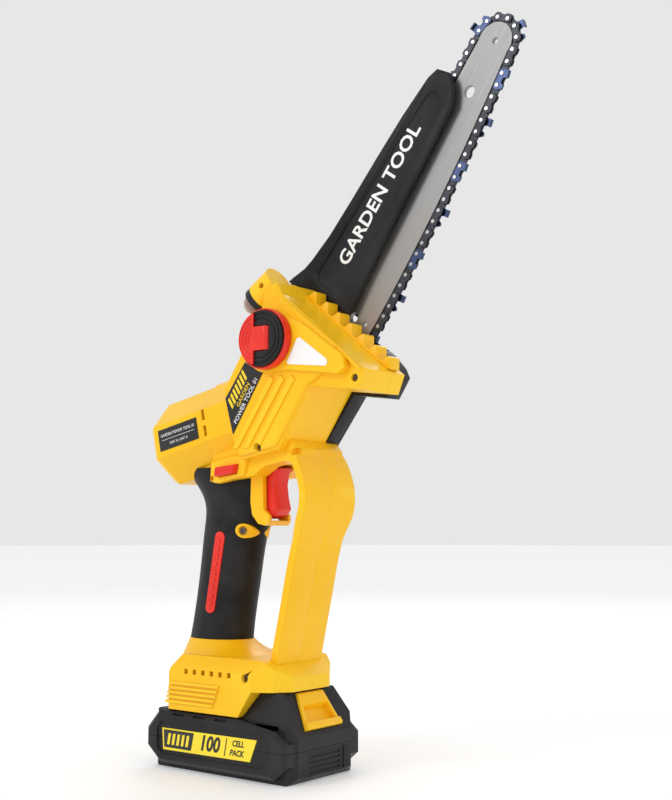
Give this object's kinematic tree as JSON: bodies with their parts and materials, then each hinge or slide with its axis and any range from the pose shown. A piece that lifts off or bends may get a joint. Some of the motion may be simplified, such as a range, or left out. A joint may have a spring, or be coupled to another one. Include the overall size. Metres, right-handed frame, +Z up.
{
  "type": "cordless pruning chainsaw",
  "caption": "Battery pruning chainsaw for one hand: short guide bar with chain, hinged guard, knuckle bow, black grip and clip-on battery as its foot.",
  "frame": {"origin": "centre of the battery underside, the face the saw stands on", "axes": "+Z up, +X towards the guide bar and the release button, -Y the side with the oil cap"},
  "size_m": [0.2632, 0.0804, 0.4528],
  "materials": {
    "yellow_plastic": "moulded, slightly glossy",
    "black_plastic": "satin with fine spark-eroded grain",
    "black_rubber": "soft-touch overmould, matt",
    "red_plastic": "moulded, glossy",
    "white_plastic": "thin glossy sheet",
    "label_print": "laminated printed film",
    "bar_steel": "ground along the bar",
    "chain_steel": "oiled, dark",
    "rivet_steel": "bright, turned",
    "dark_steel": "blackened",
    "cast_alloy": "die cast, raw",
    "clear_plastic": "translucent, milky",
    "clear_bulb": "clear soft dome",
    "circuit_board": "solder mask",
    "cell_wrap": "shrink film",
    "contact_brass": "stamped strip"
  },
  "bodies": {
    "housing": {"right_shell": "yellow_plastic", "left_shell": "yellow_plastic", "bow_right": "yellow_plastic", "bow_left": "yellow_plastic", "grip_skin_right": "black_rubber", "grip_skin_left": "black_rubber", "grip_inserts": "red_plastic", "spiked_bumper": "yellow_plastic", "head_label": "label_print", "motor_label": "label_print", "white_inlay": "white_plastic", "housing_screws": "dark_steel", "guide_bar": "bar_steel", "chain_cutters": "chain_steel", "chain_straps": "chain_steel", "chain_drive_links": "chain_steel", "chain_rivets": "rivet_steel", "sprocket_cover": "black_plastic", "bar_studs": "dark_steel", "bar_nuts": "dark_steel", "guard_pin": "dark_steel", "oil_tank": "clear_plastic", "oil_pipe": "clear_plastic", "bulb_collar": "black_plastic", "bulb_core": "red_plastic", "motor_can": "dark_steel", "gear_case": "cast_alloy", "bearings": "rivet_steel", "switch_body": "black_plastic", "control_board": "circuit_board", "terminal_block": "black_plastic"},
    "guard": {"guard": "black_plastic"},
    "oil_cap": {"oil_cap": "black_plastic", "cap_rim": "red_plastic", "cap_seal": "black_rubber", "flap_pin": "dark_steel"},
    "cap_flap": {"cap_flap": "red_plastic"},
    "primer_bulb": {"primer_bulb": "clear_bulb"},
    "rotor": {"rotor": "dark_steel", "cooling_fan": "black_plastic", "pinion": "dark_steel"},
    "output": {"output_shaft": "dark_steel", "bevel_gear": "dark_steel", "drive_sprocket": "dark_steel"},
    "trigger": {"trigger": "red_plastic"},
    "lock_button": {"lock_button": "red_plastic"},
    "battery": {"battery_lower": "black_plastic", "battery_upper": "black_plastic", "battery_cells": "cell_wrap", "battery_board": "circuit_board", "battery_contacts": "contact_brass", "battery_labels": "label_print"},
    "release_button": {"release_button": "yellow_plastic"}
  },
  "joints": [
    {"name": "guard_hinge", "type": "hinge", "parent": "housing", "child": "guard", "pos_m": [0.02773, 0, 0.30116], "axis": [0, -1, 0], "range_deg": [0, 60], "stiffness_Nm_per_rad": 0.02, "springref_deg": -34.38},
    {"name": "cap_turn", "type": "hinge", "parent": "housing", "child": "oil_cap", "pos_m": [0.0435, -0.035, 0.264], "axis": [0, -1, 0], "range_deg": [0, 90]},
    {"name": "flap_hinge", "type": "hinge", "parent": "oil_cap", "child": "cap_flap", "pos_m": [0.0465, -0.0402, 0.264], "axis": [0, 0, 1], "range_deg": [0, 90]},
    {"name": "bulb_press", "type": "slide", "parent": "housing", "child": "primer_bulb", "axis": [0.8387, 0, 0.5446], "range_m": [0, 0.003], "stiffness_N_per_m": 400, "springref_m": -0.002},
    {"name": "rotor_spin", "type": "hinge", "parent": "housing", "child": "rotor", "pos_m": [0.0403, 0, 0.2267], "axis": [0.9781, 0, 0.2079], "continuous": true},
    {"name": "output_spin", "type": "hinge", "parent": "housing", "child": "output", "pos_m": [0.0403, 0, 0.2267], "axis": [0, 1, 0], "continuous": true},
    {"name": "trigger_pull", "type": "slide", "parent": "housing", "child": "trigger", "axis": [-1, 0, 0], "range_m": [0, 0.005], "stiffness_N_per_m": 600, "springref_m": -0.004},
    {"name": "lock_push", "type": "slide", "parent": "housing", "child": "lock_button", "axis": [0, 1, 0], "range_m": [0, 0.004], "stiffness_N_per_m": 500, "springref_m": -0.003},
    {"name": "battery_slide", "type": "slide", "parent": "housing", "child": "battery", "axis": [1, 0, 0], "range_m": [0, 0.1]},
    {"name": "release_push", "type": "slide", "parent": "battery", "child": "release_button", "axis": [-0.8683, 0, -0.4961], "range_m": [0, 0.003], "stiffness_N_per_m": 500, "springref_m": -0.003}
  ],
  "couplings": [
    {"joint": "output_spin", "follows": "rotor_spin", "ratio": -0.33333}
  ]
}
